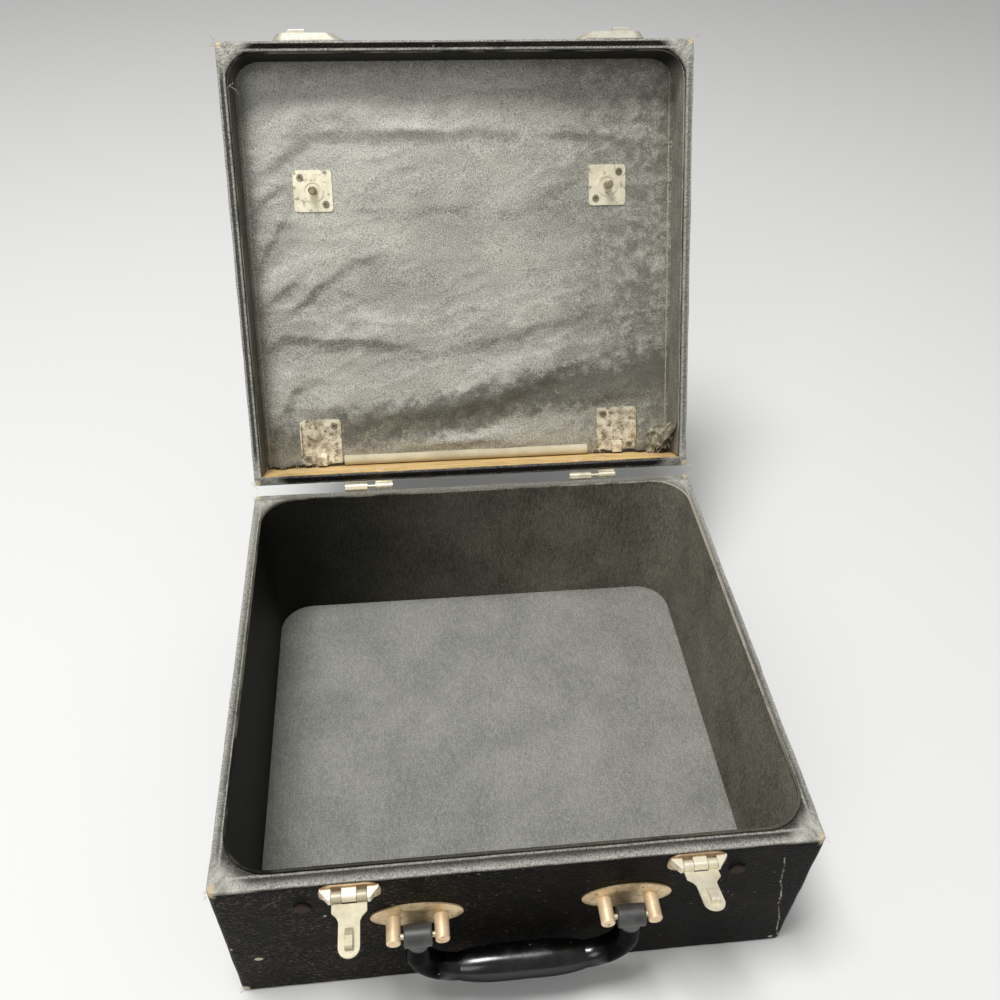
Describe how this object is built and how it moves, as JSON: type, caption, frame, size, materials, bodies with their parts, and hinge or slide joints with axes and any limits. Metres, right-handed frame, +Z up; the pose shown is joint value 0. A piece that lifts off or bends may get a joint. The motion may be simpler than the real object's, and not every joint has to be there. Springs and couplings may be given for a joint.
{
  "type": "typewriter case",
  "caption": "Hard portable case with a deep lined base, a shallow lid on slip hinges, sliding locks with swinging hasps, and a carrying handle on the front.",
  "frame": {"origin": "centre of the base's underside", "axes": "+X to the right of someone facing the handle, +Y from the handle towards the hinges, +Z up"},
  "size_m": [0.336, 0.5351, 0.4067],
  "materials": {
    "leatherette": "black pebbled leatherette, worn pale at edges and corners",
    "cloth": "dark grey lining cloth, creased and dusty",
    "wood": "bare softwood",
    "nickel": "old nickel plate, cream with rust in its corners",
    "steel": "dull steel",
    "brass": "tarnished brass, brown",
    "handle_moulding": "glossy black moulding"
  },
  "bodies": {
    "base": {"base_bottom_board": "wood", "base_corner_blocks": "wood", "base_corner_nails": "steel", "base_covering": "leatherette", "base_floor_lining": "cloth", "base_front_board": "wood", "base_left_board": "wood", "base_rear_board": "wood", "base_right_board": "wood", "base_underside_sheet": "leatherette", "base_wall_lining": "cloth", "front_rivets": "steel", "handle_pins": "steel", "handle_plate_left": "brass", "handle_plate_right": "brass", "handle_posts": "brass", "handle_washers": "steel", "hasp_pins": "steel", "hasp_plate_left": "nickel", "hasp_plate_right": "nickel", "hasp_rivets": "nickel", "hinge_base_leaf_left": "nickel", "hinge_base_leaf_right": "nickel", "hinge_base_rivets": "steel", "hinge_pins": "steel"},
    "lid": {"hinge_lid_leaf_left": "nickel", "hinge_lid_leaf_right": "nickel", "hinge_lid_rivets": "steel", "lid_clip_plate_left": "steel", "lid_clip_plate_right": "steel", "lid_corner_blocks": "wood", "lid_corner_nails": "steel", "lid_covering": "leatherette", "lid_eyelets": "nickel", "lid_front_board": "wood", "lid_left_board": "wood", "lid_liner": "cloth", "lid_liner_piping": "cloth", "lid_rear_board": "wood", "lid_right_board": "wood", "lid_stud_left": "steel", "lid_stud_plate_left": "nickel", "lid_stud_plate_right": "nickel", "lid_stud_right": "steel", "lid_top_board": "wood", "lid_wall_lining": "cloth", "lock_back_plate_left": "nickel", "lock_back_plate_right": "nickel", "lock_cover_left": "nickel", "lock_cover_right": "nickel", "lock_rivets": "nickel", "lock_springs": "steel"},
    "hasp_left": {"hasp_left": "nickel"},
    "hasp_right": {"hasp_right": "nickel"},
    "handle": {"handle": "handle_moulding"},
    "lock_slide_left": {"lock_bolt_left": "steel", "lock_button_left": "nickel"},
    "lock_slide_right": {"lock_bolt_right": "steel", "lock_button_right": "nickel"}
  },
  "joints": [
    {"name": "lid_hinge", "type": "hinge", "parent": "base", "child": "lid", "pos_m": [0, 0.16, 0.1243], "axis": [1, 0, 0], "range_deg": [0, 118]},
    {"name": "hasp_left_hinge", "type": "hinge", "parent": "base", "child": "hasp_left", "pos_m": [-0.0943, -0.1606, 0.1174], "axis": [-1, 0, 0], "range_deg": [-72, 90]},
    {"name": "hasp_right_hinge", "type": "hinge", "parent": "base", "child": "hasp_right", "pos_m": [0.0953, -0.1606, 0.1174], "axis": [-1, 0, 0], "range_deg": [-94, 68]},
    {"name": "handle_swing", "type": "hinge", "parent": "base", "child": "handle", "pos_m": [0, -0.1684, 0.0809], "axis": [-1, 0, 0], "range_deg": [-2, 182]},
    {"name": "lock_slide_left", "type": "slide", "parent": "lid", "child": "lock_slide_left", "axis": [-1, 0, 0], "range_m": [0, 0.0055], "stiffness_N_per_m": 150, "springref_m": -0.005, "deforming": ["lock_springs"]},
    {"name": "lock_slide_right", "type": "slide", "parent": "lid", "child": "lock_slide_right", "axis": [1, 0, 0], "range_m": [0, 0.0055], "stiffness_N_per_m": 150, "springref_m": -0.005}
  ]
}
